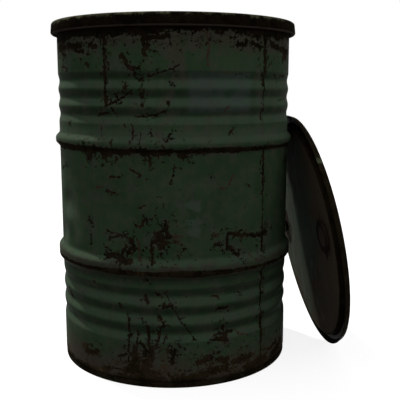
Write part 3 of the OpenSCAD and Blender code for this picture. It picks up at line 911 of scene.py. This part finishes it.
def gasket_finish():
    rubber_black = (0.0050, 0.0048, 0.0045, 1)
    perished_grey = (0.0110, 0.0108, 0.0095, 1)
    off_steel = (0.0120, 0.0070, 0.0040, 1)
    material, w, shader = new_finish("perished_rubber")
    point = w.use(COVER_PLACE)["Point"]
    cells = {"Vector": point, "Scale": 260}
    cracks = w.add("ShaderNodeTexVoronoi", cells, feature="DISTANCE_TO_EDGE").outputs[0]
    cloudy = w.noise(point, 25, 4, 0.6)
    colour = w.blend(w.fade(cloudy, 0.42, 0.62), rubber_black, perished_grey)
    colour = w.blend(w.fade(cloudy, 0.45, 0.3, 0, 0.8), colour, off_steel)
    colour = w.blend(w.fade(cracks, 0.0, 0.09, 0.8, 0), colour, rubber_black)
    w.give(shader.inputs["Base Color"], colour)
    w.give(shader.inputs["Roughness"], w.fade(cloudy, 0.3, 0.7, 0.6, 0.8))
    shader.inputs["Specular IOR Level"].default_value = 0.05
    bumped(w, shader, w.fade(cracks, 0, 0.12, 0, 0.25))
    return material


rubber = gasket_finish()
for part in ("cover", "bung_flange", "bung_plug", "vent_flange", "vent_plug"):
    finish_node(part + "_gasket", rubber)

# -------------------------------------------------- Fittings
# Pressed steel inserts through the cover, each with a rubber ring under its base, and the plugs that
# are screwed into them: the large one for filling, and the small one for air. Zinc plated, now rusty.


def fitting_finish(name, zinc, most_rust):
    stain_ring = (0.0042, 0.0020, 0.0014, 1)
    pinkish = (0.0270, 0.0205, 0.0150, 1)
    material, w, shader = new_finish(name)
    where = w.use(COVER_PLACE)
    point = where["Point"]
    colour = rusted(w, shader, point, rust_deep, rust_brown, rust_ochre, 0.75, 0.15)
    medium = w.noise(point, 60, 4, 0.65)
    colour = w.blend(w.fade(medium, 0.35, 0.55, 0.4, 1), colour, pinkish)
    colour = w.blend(w.fade(medium, most_rust, most_rust + 0.1, 0, 0.8), colour, zinc)
    inner_side = w.fade(where["Outward"], -0.5, 0.5, 1, 0)
    for middle, base in ((bung_place, 38.5 * mm), (vent_place, 22 * mm)):
        off = w.vector("DISTANCE", where["Flat"], middle)
        off = w.plus(off, w.rag(medium, 14 * mm))
        band = w.product(w.fade(off, base - 17 * mm, base - 10 * mm),
                         w.fade(off, base + 9 * mm, base + 6 * mm))
        colour = w.blend(w.product(band, inner_side), colour, stain_ring)
    w.give(shader.inputs["Base Color"], colour)
    return material


insert_steel = fitting_finish("insert_steel", (0.0260, 0.0270, 0.0240, 1), 0.60)
plug_steel = fitting_finish("plug_steel", (0.0330, 0.0340, 0.0310, 1), 0.55)
for fitting in ("bung", "vent"):
    finish_node(fitting + "_flange", insert_steel)
    finish_node(fitting + "_plug", plug_steel)

# -------------------------------------------------- Stage
# A pale floor that shows white to the camera and keeps a soft shadow, soft light from above, and a
# low sun from behind and to the left.
white = (1, 1, 1, 1)


def seen_directly(w):
    """1 where the camera sees it, as it is or in something glossy or clear, and 0 for other light."""
    seen = w.add("ShaderNodeLightPath").outputs
    return w.most(*[seen[kind] for kind in ("Is Camera Ray", "Is Glossy Ray", "Is Transmission Ray")])


def floor_finish():
    material = bpy.data.materials.new("floor")
    w = emptied(material)
    direct = seen_directly(w)
    bounced = (0.1, 0.1, 0.1, 1)
    shade = w.add("ShaderNodeBsdfDiffuse", {"Color": w.blend(direct, bounced, white)}).outputs[0]
    glow = w.add("ShaderNodeEmission", {"Color": white, "Strength": 1}).outputs[0]
    both = w.add("ShaderNodeMixShader", {0: w.product(direct, 0.85), 1: shade, 2: glow}).outputs[0]
    w.add("ShaderNodeOutputMaterial", {"Surface": both})
    return material


floor_half = 6
corners = [(x * floor_half, y * floor_half, 0) for x, y in ((-1, -1), (1, -1), (1, 1), (-1, 1))]
floor = add_piece("floor", corners, [], [(0, 1, 2, 3)])
floor.data.materials.append(floor_finish())

world = bpy.data.worlds.new("studio")
w = emptied(world)
strength = w.fade(seen_directly(w), 0, 1, 0.95, 1)
background = w.add("ShaderNodeBackground", {"Color": white, "Strength": strength})
w.add("ShaderNodeOutputWorld", {"Surface": background.outputs[0]})
bpy.context.scene.world = world


def add_lamp(name, kind, place, aim, **settings):
    light = bpy.data.lights.new(name, kind)
    for key, value in settings.items():
        setattr(light, key, value)
    lamp = bpy.data.objects.new(name, light)
    lamp.location = place
    lamp.rotation_euler = (Vector(aim) - Vector(place)).to_track_quat("-Z", "Y").to_euler()
    bpy.context.scene.collection.objects.link(lamp)


sun_azimuth, sun_height = math.radians(134), math.radians(60)
sun_place = Vector((math.cos(sun_azimuth), math.sin(sun_azimuth), math.tan(sun_height)))
add_lamp("sun", "SUN", sun_place * 3, (0, 0, 0), energy=6.6, angle=math.radians(3))
add_lamp("right_fill", "AREA", (1.6, -2.0, 1.3), (0.1, 0, 0.4), energy=16, size=2)
add_lamp("overhead", "AREA", (-0.3, -0.4, 2.6), (0, 0, 0.4), energy=20, size=2)

film_width, focal_length = 36, 60.1
camera_place = (0, -1.717, 0.666)
looks_down, looks_right = 9.227, 2.198
lens = bpy.data.cameras.new("camera")
lens.sensor_width = film_width
lens.lens = focal_length
camera = bpy.data.objects.new("camera", lens)
camera.location = camera_place
camera.rotation_euler = (math.radians(90 - looks_down), 0, math.radians(-looks_right))
bpy.context.scene.collection.objects.link(camera)
bpy.context.scene.camera = camera
bpy.context.scene.view_settings.view_transform = "Standard"
